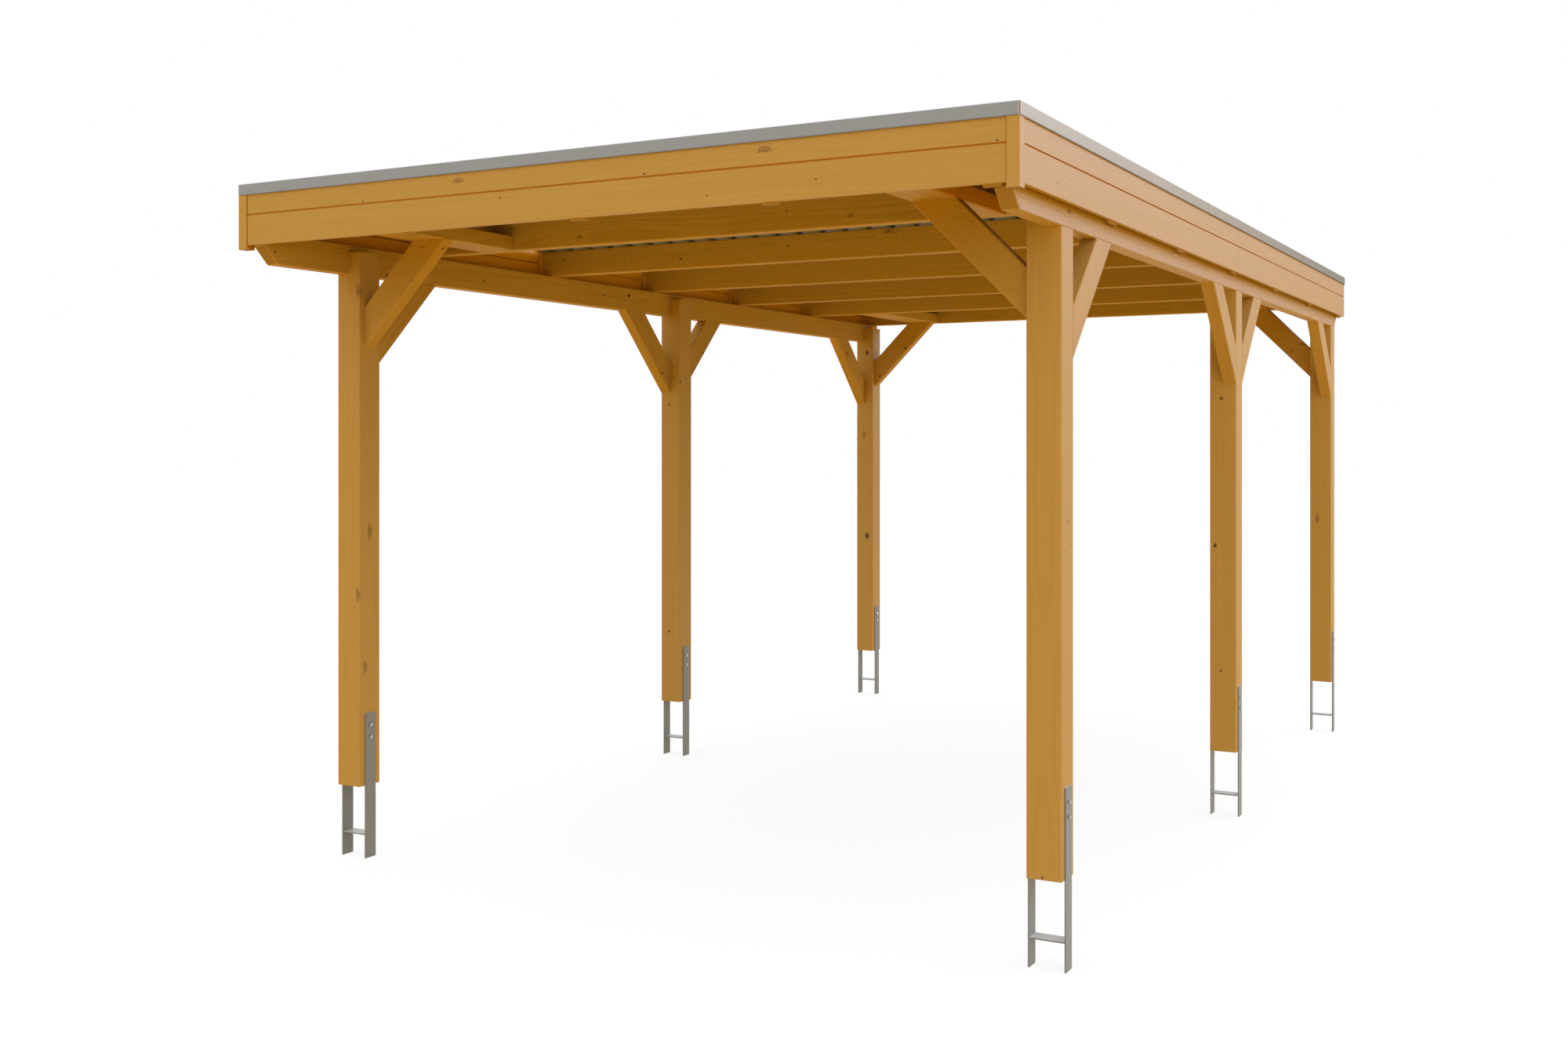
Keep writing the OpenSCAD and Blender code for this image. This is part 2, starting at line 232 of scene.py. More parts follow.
# Knots that the photo shows: centre, radius, and 1 for a half moon of arcs or 0 for a dark spot.
KNOTS = {
    "front_fascia_upper": [
        ((-0.510, FASCIA_Y, 2.650), 0.017, 1), ((0.743, FASCIA_Y, 2.649), 0.018, 1),
        ((0.284, FASCIA_Y, 2.616), 0.004, 0), ((1.533, FASCIA_Y, 2.614), 0.004, 0),
        ((-0.963, FASCIA_Y, 2.614), 0.004, 0)],
    "front_fascia_lower": [
        ((-0.322, FASCIA_Y, 2.580), 0.0036, 0), ((0.527, FASCIA_Y, 2.525), 0.003, 0),
        ((0.928, FASCIA_Y, 2.547), 0.0034, 0)],
    "right_fascia_upper": [((FASCIA_X, -2.552, 2.659), 0.0036, 0)],
    "right_fascia_lower": [
        ((FASCIA_X, -2.485, 2.531), 0.0037, 0), ((FASCIA_X, 1.868, 2.542), 0.006, 0)],
    "rafter_2": [
        ((-1.034, -1.872, 2.629), 0.010, 1), ((-0.674, -1.872, 2.570), 0.012, 1),
        ((-0.946, -1.872, 2.623), 0.0025, 0), ((0.304, -1.872, 2.615), 0.004, 0),
        ((0.576, -1.872, 2.573), 0.012, 1)],
    "rafter_3": [
        ((-1.437, -0.950, 2.611), 0.005, 0), ((-1.036, -0.950, 2.585), 0.0038, 0),
        ((-0.759, -0.950, 2.584), 0.0055, 0), ((0.312, -0.950, 2.638), 0.019, 1),
        ((-0.188, -0.950, 2.609), 0.005, 0)],
    "left_front_beam": [
        ((-1.505, -1.471, 2.471), 0.006, 0), ((-1.505, -0.510, 2.485), 0.008, 0),
        ((-1.505, -0.280, 2.500), 0.011, 0), ((-1.505, -0.199, 2.469), 0.005, 0),
        ((-1.505, -2.743, 2.469), 0.005, 0), ((-1.505, -2.112, 2.433), 0.009, 0)],
    "right_front_beam": [
        ((1.565, -2.263, 2.469), 0.013, 1), ((1.565, -2.727, 2.434), 0.004, 0),
        ((1.565, -1.448, 2.436), 0.0045, 0), ((1.565, -0.989, 2.469), 0.009, 1)],
    "front_left_post": [
        ((-1.460, -2.342, 2.348), 0.018, 1), ((-1.462, -2.342, 1.092), 0.018, 1),
        ((-1.445, -2.290, 1.352), 0.020, 1), ((-1.445, -2.317, 0.789), 0.018, 1)],
    "middle_left_post": [
        ((-1.514, 0.128, 0.684), 0.0065, 0), ((-1.512, 0.128, 1.934), 0.0065, 0),
        ((-1.445, 0.135, 2.058), 0.0065, 0)],
    "rear_left_post": [
        ((-1.487, 2.598, 2.343), 0.014, 0), ((-1.517, 2.598, 1.779), 0.019, 1),
        ((-1.488, 2.598, 1.088), 0.018, 0)],
    "front_right_post": [
        ((1.565, -2.282, 1.462), 0.005, 0), ((1.446, -2.340, 1.345), 0.0035, 0),
        ((1.500, -2.342, 0.308), 0.0042, 0), ((1.565, -2.298, 1.373), 0.0035, 0)],
    "middle_right_post": [
        ((1.469, 0.128, 1.248), 0.009, 0), ((1.494, 0.128, 0.670), 0.0055, 0),
        ((1.497, 0.128, 1.926), 0.0075, 0), ((1.565, 0.146, 1.926), 0.0055, 0)],
    "rear_right_post": [((1.479, 2.598, 1.274), 0.020, 1)],
    "left_side_braces": [
        ((-1.505, 0.043, 2.099), 0.015, 1), ((-1.505, 0.464, 2.236), 0.008, 0),
        ((-1.505, 2.330, 2.330), 0.014, 0)],
    "right_side_braces": [((1.565, -1.969, 2.341), 0.004, 0)],
    "front_cross_braces": [
        ((-1.134, -2.312, 2.513), 0.005, 0), ((-1.194, -2.312, 2.382), 0.005, 0),
        ((-1.313, -2.312, 2.350), 0.0028, 0), ((-1.055, -2.280, 2.505), 0.008, 0),
        ((-1.237, -2.312, 2.356), 0.0026, 0)],
    "rear_cross_braces": [
        ((-1.213, 2.628, 2.369), 0.011, 0), ((-1.406, 2.628, 2.181), 0.010, 0),
        ((1.399, 2.628, 2.312), 0.018, 1), ((1.333, 2.628, 2.281), 0.007, 0)],
}

# How each grain direction reads its (along, across, across) place from the object's own x, y, z,
# and how a knot is drawn out along the grain there.
ALONG_X, ALONG_Y, ALONG_Z, SIDE_BRACE, CROSS_BRACE = "x", "y", "z", "side", "cross"
FLOW = {ALONG_X: (0.7, 1.0, 1.0), ALONG_Y: (1.0, 0.7, 1.0), ALONG_Z: (1.0, 1.0, 0.7),
        SIDE_BRACE: (1.0, 1.0, 1.0), CROSS_BRACE: (1.0, 1.0, 1.0)}
UPWARDS, SIDEWAYS = (0.0, 0.0, 1.0), (1.0, 1.0, 0.0)
END_AXIS = {ALONG_X: X, ALONG_Y: Y, ALONG_Z: Z}


def grain_place(g, where, way):
    x, y, z = g.split(where)
    if way == ALONG_X:
        return g.join(x, y, z)
    if way == ALONG_Y:
        return g.join(y, x, z)
    if way == ALONG_Z:
        return g.join(z, x, y)
    if way == SIDE_BRACE:
        off = g.math("PINGPONG", g.math("SUBTRACT", y, POST_Y[0]), HALF_BAY)
        side = x
    else:
        off = g.math("MULTIPLY", g.math("ABSOLUTE", x), -1.0)
        side = y
    along = g.math("MULTIPLY", g.math("ADD", z, off), ROOT_HALF)
    across = g.math("MULTIPLY", g.math("SUBTRACT", z, off), ROOT_HALF)
    return g.join(along, across, side)


# Small knots scattered over the unseen faces: cells per metre, radii, how many and how dark.
STRAY_CELLS, STRAY_FLOW = (2.2, 7.0, 7.0), (0.7, 1.0, 1.0)
STRAY_LEAST, STRAY_MORE = 0.003, 0.011
STRAY_RIM, STRAY_MARK, STRAY_NONE = (0.5, 1.05), 0.85, 0.35
UNSEEN = 0.6


def stray_knots(g, place, seed):
    """Small seeded knots for the faces that the photo doesn't show (rear, left, up and down)."""
    moved = g.vmath("ADD", place, g.join(seed, 0.0, 0.0))
    cells = g.vmath("MULTIPLY", moved, STRAY_CELLS)
    spots = g.node("ShaderNodeTexVoronoi", {"Vector": cells, "Scale": 1.0}).outputs
    away = g.vmath("DIVIDE", g.vmath("SUBTRACT", cells, spots["Position"]), STRAY_CELLS)
    chance, amount, _ = g.split(spots["Color"])
    size = g.math("MULTIPLY_ADD", amount, STRAY_MORE, STRAY_LEAST)
    far = g.math("DIVIDE", g.length(g.vmath("MULTIPLY", away, STRAY_FLOW)), size)
    mark = g.math("MULTIPLY", g.span(far, *STRAY_RIM, STRAY_MARK, 0.0),
                  g.math("GREATER_THAN", chance, STRAY_NONE))
    nx, ny, nz = g.normal()
    unseen = g.math("MAXIMUM", ny, g.math("ABSOLUTE", nz))
    unseen = g.math("MAXIMUM", g.math("MULTIPLY", nx, -1.0), unseen)
    return g.math("MULTIPLY", mark, g.math("GREATER_THAN", unseen, UNSEEN))


# Parts of a face's normal between which it starts to count as an end, a side or a level face.
END_ON, SIDE_ON, LEVEL_ON = (0.55, 0.80), (0.6, 0.9), (0.7, 0.9)
OUTWARD, INWARD = 1.0, -1.0


def end_grain(g, way):
    """1 on faces that cut across the grain."""
    if way not in END_AXIS:
        return 0.0
    return g.span(g.math("ABSOLUTE", g.normal()[END_AXIS[way]]), *END_ON)


def side_faces(g, where, facing):
    """1 on the faces of side timbers that look outward or inward across the bay."""
    turned = g.math("MULTIPLY", g.math("MULTIPLY", g.normal()[X], g.split(where)[X]), facing)
    return g.span(turned, *SIDE_ON)


SOFT_EDGE = 0.0004


def window(g, where, axis, low, high):
    """1 where the distance from the middle along one axis is between low and high."""
    at = g.math("ABSOLUTE", g.split(where)[axis])
    return g.math("MULTIPLY", g.span(at, low - SOFT_EDGE, low + SOFT_EDGE),
                  g.span(at, high - SOFT_EDGE, high + SOFT_EDGE, 1.0, 0.0))


# Open joints where the stain has gathered, each a set of (axis, low, high) that all hold,
# counted from the middle of the plan.
FRONT_GROOVE = ((Z, 2.6030, 2.6093), (Y, 2.8220, 2.8400))
SIDE_GROOVE = ((Z, 2.6030, 2.6093), (X, 1.5900, 1.6100))
BAR_JOINT = ((X, 1.5590, 1.5626),)


def joint_stain(g, where, joints):
    """1 inside the open joints."""
    stain = 0.0
    for windows in joints:
        inside = 1.0
        for axis, low, high in windows:
            inside = g.math("MULTIPLY", inside, window(g, where, axis, low, high))
        stain = g.math("MAXIMUM", stain, inside)
    return stain


LIGHT_WOOD = rgb(0.598, 0.358, 0.094)
DARK_WOOD = rgb(0.450, 0.248, 0.040)
KNOT_WOOD = rgb(0.140, 0.060, 0.020)
END_WOOD = rgb(0.280, 0.135, 0.014)
# The battens' cut ends: end grain, darker still as painted shade beneath the boards.
BATTEN_END_SHADED = rgb(0.200, 0.095, 0.002)
JOINT_WOOD = rgb(0.560, 0.235, 0.006)
END_SHARE = 0.8

# Painted light that multiplies the wood: a warm bounce light painted on side faces in deep shade,
# and on the outer faces of the beams a shadow painted above the line of the eaves and a cool sheen
# painted below it.
DEEP_SHADE_PAINTED_BOUNCE = (1.46, 1.13, 0.10)
EAVES_PAINTED_SHADOW = rgb(0.90, 0.80, 0.20)
OPEN_PAINTED_SHEEN = rgb(1.0, 1.03, 1.55)
EAVES_Z = (2.469, 2.480)

# Strength of the rings, gloss, and a painted fill light that makes some timbers paler: the rafters,
# the left beams and the posts listed here.
BOLD, PLAIN, CALM, FAINT, FAINTEST = 0.42, 0.30, 0.12, 0.10, 0.04
SATIN, MATT = 0.28, 0.08
PAINTED_FILL = 0.14
POSTS_WITH_PAINTED_FILL = ("middle_right_post", "rear_left_post", "rear_right_post")

# Dark share of the wood: a base and its change with the figure, and the same for each noise.
BASE_TONE = (0.26, -0.3)
FIBRE_TONE, STREAK_TONE, CLOUD_TONE = (0.24, 0.7), (0.12, 1.2), (0.22, 0.6)
MORE_TONE = 0.02
WOOD_ROUGH, FIBRE_ROUGH = 0.55, 0.14
RING_HEIGHT, WOOD_BUMP, WOOD_RELIEF = 0.4, 0.12, 0.002
PIECE_SEED, NODE_SEED = 3.7, 11.3


def wood(name, way, pith, seed, split=None, knots=(), joints=(), figure=PLAIN, shine=SATIN,
         deep=None, ends=END_WOOD, pale=0.0, eaves=False):
    """Oiled softwood. pith is the ring centre across the grain; split (axis, pitch, start) reseeds
    like pieces of one node; knots are (centre, radius, eye); figure is the strength of the rings,
    shine the gloss and ends the colour of cut ends; deep, OUTWARD or INWARD, says which side faces
    get a painted warm bounce light; pale is a painted fill light that lightens the wood; eaves paints
    a shadow above the eaves line on a beam's outer face, with less gloss there, and a cool sheen
    below it."""
    mat, g, shader, where = new_material(name)
    place = g.vmath("SUBTRACT", grain_place(g, where, way), (0.0, pith[0], pith[1]))
    number = float(seed)
    if split:
        axis, pitch, start = split
        step = g.math("DIVIDE", g.math("SUBTRACT", g.split(where)[axis], start), pitch)
        number = g.math("MULTIPLY_ADD", g.math("FLOOR", step), PIECE_SEED, seed)
    mark, bulge = stray_knots(g, place, number), 0.0
    crown = SIDEWAYS if way == ALONG_Z else UPWARDS
    for spot, size, eye in knots:
        made = g.group(KNOT, {"Place": where, "Centre": spot, "Flow": FLOW[way], "Crown": crown,
                              "Size": size, "Eye": float(eye)})
        mark = g.math("MAXIMUM", mark, made["Mark"])
        bulge = g.math("ADD", bulge, made["Bulge"])
    ring, *noises = g.group(GRAIN, {"Place": place, "Seed": number, "Bulge": bulge})
    fibre = noises[0]
    tone = g.math("MULTIPLY_ADD", ring, figure, BASE_TONE[0] + figure * BASE_TONE[1])
    for noise, (base, change) in zip(noises, (FIBRE_TONE, STREAK_TONE, CLOUD_TONE)):
        tone = g.math("MULTIPLY_ADD", g.math("SUBTRACT", noise, 0.5), base + figure * change, tone)
    # A painted fill light: pale lifts the tone towards the light wood.
    tone = g.math("ADD", tone, MORE_TONE - pale, clamp=True)
    colour = g.mix(mark, g.mix(tone, LIGHT_WOOD, DARK_WOOD), KNOT_WOOD)
    # Painted warm bounce light on the side faces in deep shade.
    if deep:
        painted_light_shade = g.vmath("MULTIPLY", colour, DEEP_SHADE_PAINTED_BOUNCE)
        colour = g.mix(side_faces(g, where, deep), colour, painted_light_shade)
    # Painted shadow on a beam's outer face above the eaves line, with its gloss cut, and a painted
    # cool sheen below that line.
    if eaves:
        under = g.span(g.split(where)[Z], *EAVES_Z)
        outside = side_faces(g, where, OUTWARD)
        painted_light_shade = g.vmath("MULTIPLY", colour, g.mix(under, OPEN_PAINTED_SHEEN, EAVES_PAINTED_SHADOW))
        colour = g.mix(outside, colour, painted_light_shade)
        shine = g.math("MULTIPLY_ADD", g.math("MULTIPLY", outside, under), MATT - shine, shine)
    colour = g.mix(g.math("MULTIPLY", end_grain(g, way), END_SHARE), colour, ends)
    if joints:
        colour = g.mix(joint_stain(g, where, joints), colour, JOINT_WOOD)
    height = g.math("MULTIPLY_ADD", ring, RING_HEIGHT, fibre)
    bump = g.node("ShaderNodeBump",
                  {"Height": height, "Strength": WOOD_BUMP, "Distance": WOOD_RELIEF})
    g.put(colour, shader["Base Color"])
    g.put(g.math("MULTIPLY_ADD", fibre, FIBRE_ROUGH, WOOD_ROUGH), shader["Roughness"])
    g.put(bump.outputs[0], shader["Normal"])
    g.put(shine, shader["Specular IOR Level"])
    return mat


# Shares of the zinc's spangle and of broader clouds in a metal's tone, and noise sizes as shares of
# the spangle's.
SPANGLE_SHARE, CLOUD_SHARE, CLOUD_SIZE = 0.35, 0.65, 0.12
ROUGH_SWING, FINE_SIZE = 0.16, 6.0
METAL_BUMP, METAL_RELIEF = 0.05, 0.001


def metal(name, colour, spread, rough, metallic, scale, shine=0.5, bands=(), topside=1.0, fade=None):
    """Sheet metal or galvanised steel: a mottled colour and an uneven polish. bands are painted shade
    and painted highlights along folded edges: (axis, low, high, gain); topside is the gain of a
    highlight painted on level faces; fade (low, high, gain at low, gain at high) paints a sheen that
    falls off towards the rear."""
    mat, g, shader, where = new_material(name)
    cells = g.node("ShaderNodeTexVoronoi", {"Vector": where, "Scale": scale}).outputs["Color"]
    cloud = g.noise(where, scale * CLOUD_SIZE, detail=3.0)
    tone = g.math("MULTIPLY_ADD", g.split(cells)[0], SPANGLE_SHARE,
                  g.math("MULTIPLY", cloud, CLOUD_SHARE))
    shown = g.mix(tone, times(colour, 1.0 - spread), times(colour, 1.0 + spread))
    # Painted shade and painted highlights in bands along folded edges.
    for axis, start, end, gain in bands:
        shown = g.mix(window(g, where, axis, start, end), shown, times(colour, gain))
    # A painted highlight on level faces.
    if topside != 1.0:
        shown = g.mix(g.span(g.normal()[Z], *LEVEL_ON), shown, times(colour, topside))
    # A painted sheen that falls off towards the rear.
    if fade:
        shown = g.scaled(shown, g.span(g.split(where)[Y], *fade))
    bump = g.node("ShaderNodeBump", {"Height": g.noise(where, scale * FINE_SIZE),
                                     "Strength": METAL_BUMP, "Distance": METAL_RELIEF})
    g.put(shown, shader["Base Color"])
    g.put(g.math("MULTIPLY_ADD", tone, ROUGH_SWING, rough - ROUGH_SWING / 2), shader["Roughness"])
    g.put(bump.outputs[0], shader["Normal"])
    g.put(metallic, shader["Metallic"])
    g.put(shine, shader["Specular IOR Level"])
    return mat


def dress(node, material):
    NODES[node].data.materials.clear()
    NODES[node].data.materials.append(material)


def centre(node):
    low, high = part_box(node)
    return (low + high) / 2


# How the like pieces of one node lie: (axis, pitch, start).
LEFT_RIGHT, FRONT_REAR = (X, 4.0, 0.0), (Y, 4.0, 0.0)
BRACE_PIECES = (Y, HALF_BAY, POST_Y[1])
FRONT_BATTENS, SIDE_BATTENS = (X, 0.754, -0.377), (Y, 0.921, -0.5)

# Ring centres: how far they wander from a timber's middle, and those that lie elsewhere.
PITH_WANDER, WANDER_STEP = 0.10, 17
SIDE_BRACE_PITH, CROSS_BRACE_PITH = 1.35, 2.53
TRIMMER_PITH, TRIMMER_DROP = 1.10, 0.06
BOARD_PITH, SIDE_BOARD_PITH = 0.05, 0.97
BAR_PITH, BATTEN_PITH = 0.06, 0.05


def swing(i):
    """A fixed scatter from -0.5 to 0.5."""
    return i % 60 * 37 % 23 / 22.0 - 0.5


def dress_wood():
    """A wood of its own for every timber node, its grain along the timber."""
    seed = 0

    def use(node, way, pith, **look):
        nonlocal seed
        seed += 1
        dress(node, wood("wood_" + node, way, pith, NODE_SEED * seed, knots=KNOTS.get(node, ()),
                         **look))

    for count, node in enumerate(sorted(NODES), 1):
        c = centre(node)
        a, b = swing(count) * PITH_WANDER, swing(count + WANDER_STEP) * PITH_WANDER
        side_shine = SATIN if c.x > 0 else MATT
        # The rear posts and the middle right post get a painted fill light that makes them paler.
        if node.endswith("_post"):
            use(node, ALONG_Z, (c.x + a, c.y + b), figure=CALM,
                pale=PAINTED_FILL if node in POSTS_WITH_PAINTED_FILL else 0.0)
        # Beams: a shadow painted on the outer face above the eaves line and a cool sheen painted
        # below it; the left beams also get a painted fill light.
        elif node.endswith("_beam"):
            use(node, ALONG_Y, (c.x + a, c.z + b), shine=side_shine,
                pale=PAINTED_FILL if c.x < 0 else 0.0, eaves=True)
        # Rafters: a painted fill light that makes them paler.
        elif node.startswith("rafter_"):
            use(node, ALONG_X, (c.y + a, c.z + b), figure=BOLD, shine=MATT, pale=PAINTED_FILL)
        elif node.endswith("_side_braces"):
            use(node, SIDE_BRACE, (SIDE_BRACE_PITH + a, c.x + b), split=BRACE_PIECES,
                shine=side_shine)
        elif node.endswith("_cross_braces"):
            use(node, CROSS_BRACE, (CROSS_BRACE_PITH + a, c.y + b), split=LEFT_RIGHT, shine=MATT)
        # Trimmers: a warm bounce light painted on their outward faces.
        elif node.endswith("_trimmers"):
            use(node, ALONG_Y, (TRIMMER_PITH, c.z - TRIMMER_DROP + b), split=LEFT_RIGHT,
                shine=MATT, deep=OUTWARD)
        elif "_fascia_" in node and node.startswith("front"):
            use(node, ALONG_X, (c.y + BOARD_PITH, c.z + a), joints=(FRONT_GROOVE, BAR_JOINT),
                figure=FAINT)
        # Side boards: a warm bounce light painted on their inward faces.
        elif "_fascia_" in node:
            use(node, ALONG_Y, (c.x * SIDE_BOARD_PITH, c.z + a), split=FRONT_REAR,
                joints=(SIDE_GROOVE,), figure=FAINTEST, deep=INWARD)
        elif node == "front_corner_bars":
            use(node, ALONG_Z, (c.x, c.y + BAR_PITH), split=LEFT_RIGHT, joints=(BAR_JOINT,),
                figure=CALM)
        # Battens: cut ends darkened past other end grain as painted shade beneath the boards.
        elif node == "front_battens":
            use(node, ALONG_Z, (c.x, c.y + BATTEN_PITH), split=FRONT_BATTENS, shine=MATT,
                ends=BATTEN_END_SHADED)
        # Side battens: a warm bounce light painted on their inward faces.
        elif node.endswith("_battens"):
            use(node, ALONG_Z, (c.x, c.y), split=SIDE_BATTENS, shine=MATT, deep=INWARD,
                ends=BATTEN_END_SHADED)


STEEL_GREY, ROOF_GREY = (0.250, 0.253, 0.243), (0.21, 0.245, 0.27)
# One trim metal in two copies for how light falls: the side copy paler and warmer as painted light,
# the front copy darker and bluer as painted shade.
FRONT_GREY, SIDE_GREY = (0.346, 0.382, 0.480), (0.455, 0.437, 0.425)
# Painted shade under the trims' lower folds, and painted highlights on the front trim's top edge and
# on the trims' ends, each (axis, low, high, gain).
FRONT_EDGE_SHADE_AND_HIGHLIGHT = ((Z, 2.6800, 2.6860, 0.72), (Z, 2.7238, 2.7300, 1.40), (X, 1.6002, 1.6100, 1.40))
SIDE_EDGE_SHADE_AND_HIGHLIGHT = ((Z, 2.6800, 2.6868, 0.50), (Y, 2.8322, 2.8400, 1.20))
# A painted sheen along the side trims in y: (low, high, gain at low, gain at high), bright at the
# front and darker towards the rear.
SIDE_SHEEN_FALLOFF = (-2.6, 3.2, 1.10, 0.63)


def dress_metal():
    # Anchors: a painted highlight on their level faces.
    steel = metal("galvanised_steel", STEEL_GREY, spread=0.10, rough=0.40, metallic=0.13, scale=60.0,
                  shine=0.45, topside=2.7)
    # Front trim: the darker, bluer copy as painted shade, with painted shade and highlights along its
    # edges.
    front = metal("trim_front", FRONT_GREY, spread=0.04, rough=0.45, metallic=0.08, scale=40.0,
                  shine=0.08, bands=FRONT_EDGE_SHADE_AND_HIGHLIGHT)
    # Side trims: the paler, warmer copy as painted light, with painted shade and highlights along
    # their edges and a painted sheen that falls off towards the rear.
    side = metal("trim_side", SIDE_GREY, spread=0.04, rough=0.45, metallic=0.04, scale=40.0,
                 shine=0.03, bands=SIDE_EDGE_SHADE_AND_HIGHLIGHT, fade=SIDE_SHEEN_FALLOFF)
    sheet = metal("roof_coating", ROOF_GREY, spread=0.05, rough=0.50, metallic=0.05, scale=40.0,
                  shine=0.30)
    for node in NODES:
        if node.endswith("_anchor"):
            dress(node, steel)
        elif node == "front_trim":
            dress(node, front)
        elif node.endswith("_trim"):
            dress(node, side)
        elif node.endswith("_roof_sheet"):
            dress(node, sheet)


def lathe(bm, place, profile, sides):
    """Turns (radius, height) points about place's Z axis, with flat ends."""
    rings = []
    for radius, height in profile:
        ring = []
        for i in range(sides):
            turn = 2 * math.pi * i / sides
            ring.append(bm.verts.new(place @ Vector(
                (radius * math.cos(turn), radius * math.sin(turn), height))))
        rings.append(ring)
    for lower, upper in zip(rings, rings[1:]):
        for i in range(sides):
            j = (i + 1) % sides
            bm.faces.new((lower[i], lower[j], upper[j], upper[i]))
    bm.faces.new(list(reversed(rings[0])))
    bm.faces.new(rings[-1])


def add_piece(name, bm, material):
    mesh = bpy.data.meshes.new(name)
    bmesh.ops.recalc_face_normals(bm, faces=bm.faces)
    bm.to_mesh(mesh)
    bm.free()
    piece = bpy.data.objects.new(name, mesh)
    bpy.context.scene.collection.objects.link(piece)
    mesh.materials.append(material)
    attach(piece, "root")


# Radius and thickness of each washer, and width over the flats and height of each head.
BOLT_WASHER, BOLT_HEAD = (0.0078, 0.0008), (0.0135, 0.0050)
SCREW_WASHER, SCREW_HEAD = (0.008, 0.002), (0.008, 0.0048)
WASHER_SIDES, HEAD_SIDES = 20, 6

# Where a bevel starts and ends, as shares of the height and of the radius.
RIM_RISE, RIM_END = 0.7, 0.94
CROWN_RISE, CROWN_END = 0.88, 0.86


def fastener(bm, place, washer, head):
    """A washer with a bevelled rim and a hex head with a chamfered crown, on place's XY plane."""
    radius, thick = washer
    rim = [(radius, 0.0), (radius, thick * RIM_RISE), (radius * RIM_END, thick)]
    lathe(bm, place, rim, WASHER_SIDES)
    flats, height = head
    corner = flats / math.sqrt(3)
    crown = [(corner, 0.0), (corner, height * CROWN_RISE), (corner * CROWN_END, height)]
    lathe(bm, place @ Matrix.Translation((0, 0, thick)), crown, HEAD_SIDES)


def add_bolts(material):
    """Two hex bolts in each strap of the six anchors."""
    for side, sign in (("left", -1), ("right", 1)):
        for row, y in zip(("front", "middle", "rear"), POST_Y):
            bm = bmesh.new()
            for face, way in ((POST_X + STRAP_T, 1), (POST_X - POST_W - STRAP_T, -1)):
                turn = Matrix.Rotation(math.radians(90 * sign * way), 4, "Y")
                for z in BOLT_Z:
                    place = Matrix.Translation((sign * face, y, z)) @ turn
                    fastener(bm, place, BOLT_WASHER, BOLT_HEAD)
            add_piece("%s_%s_anchor_bolts" % (row, side), bm, material)


def add_roof_screws(material):
    """A sealed screw in every second trough of the sheets, over each of the seven rafters."""
    bm = bmesh.new()
    for i in range(RAFTERS):
        y = RAFTER_1_Y + i * RAFTER_PITCH
        for k in range(0, TROUGHS, 2):
            place = Matrix.Translation((TROUGH_X0 + k * TROUGH_PITCH, y, TROUGH_Z))
            fastener(bm, place, SCREW_WASHER, SCREW_HEAD)
    add_piece("roof_screws", bm, material)


# The sleeves behind the trim joints, and their section as (depth, height) points.
SLEEVE_Z, SLEEVE_H, SLEEVE_L = 2.6852, 0.0386, 0.06
SLEEVE_PROFILE = [(0.0, 0.0), (0.0016, 0.0), (0.0016, 0.0012), (0.0010, 0.0016),
                  (0.0010, SLEEVE_H - 0.0006), (0.0005, SLEEVE_H), (0.0, SLEEVE_H)]


def add_trim_sleeves(material):
    """A sleeve inside each straight joint of the edge trims, with a return along its foot; its pale
    grey is a painted highlight along the joint.
    """
    places = [Matrix.Translation((0.0, -TRIM_IN_Y, SLEEVE_Z))]
    for sign in (-1, 1):
        turn = Matrix.Rotation(sign * math.pi / 2, 4, "Z")
        for y in TRIM_JOINT_Y:
            places.append(Matrix.Translation((sign * TRIM_IN_X, y, SLEEVE_Z)) @ turn)
    count = len(SLEEVE_PROFILE)
    bm = bmesh.new()
    for place in places:
        first, last = [[bm.verts.new(place @ Vector((along, depth, height)))
                        for depth, height in SLEEVE_PROFILE]
                       for along in (-SLEEVE_L / 2, SLEEVE_L / 2)]
        for i in range(count):
            j = (i + 1) % count
            bm.faces.new((first[i], first[j], last[j], last[i]))
        bm.faces.new(first)
        bm.faces.new(list(reversed(last)))
    add_piece("trim_sleeves", bm, material)


def seen_ray(g):
    """1 for rays from the camera, from gloss or through glass, and 0 for the light's own bounces."""
    rays = g.node("ShaderNodeLightPath").outputs
    return g.math("MAXIMUM", rays["Is Camera Ray"],
                  g.math("MAXIMUM", rays["Is Glossy Ray"], rays["Is Transmission Ray"]))


# Light of the sky at its rim, its rise towards the top, and the extra light low on the right.
DOME_RIM, DOME_RISE, DOME_SIDE = 0.50, 0.80, 1.00
WHITE = rgb(1.0, 1.0, 1.0)


def add_world():
    """White for the camera and for reflections, a plain soft dome for the light."""
    world = bpy.data.worlds.new("studio")
    bpy.context.scene.world = world
    world.use_nodes = True
    g = Graph(world.node_tree)
    g.tree.nodes.clear()
    right, _, height = g.split(g.node("ShaderNodeTexCoord").outputs["Generated"])
    height = g.math("MAXIMUM", height, 0.0)
    dome = g.math("MULTIPLY_ADD", height, DOME_RISE, DOME_RIM)
    low = g.math("POWER", g.math("SUBTRACT", 1.0, height), 2.0)
    side = g.math("MULTIPLY", g.math("MAXIMUM", right, 0.0), low)
    dome = g.math("MULTIPLY_ADD", side, DOME_SIDE, dome)
    soft = g.node("ShaderNodeBackground", {"Color": WHITE, "Strength": dome})
    white = g.node("ShaderNodeBackground", {"Color": WHITE, "Strength": 1.0})
    both = g.node("ShaderNodeMixShader", {0: seen_ray(g), 1: soft.outputs[0], 2: white.outputs[0]})
    g.put(both.outputs[0], g.node("ShaderNodeOutputWorld").inputs["Surface"])


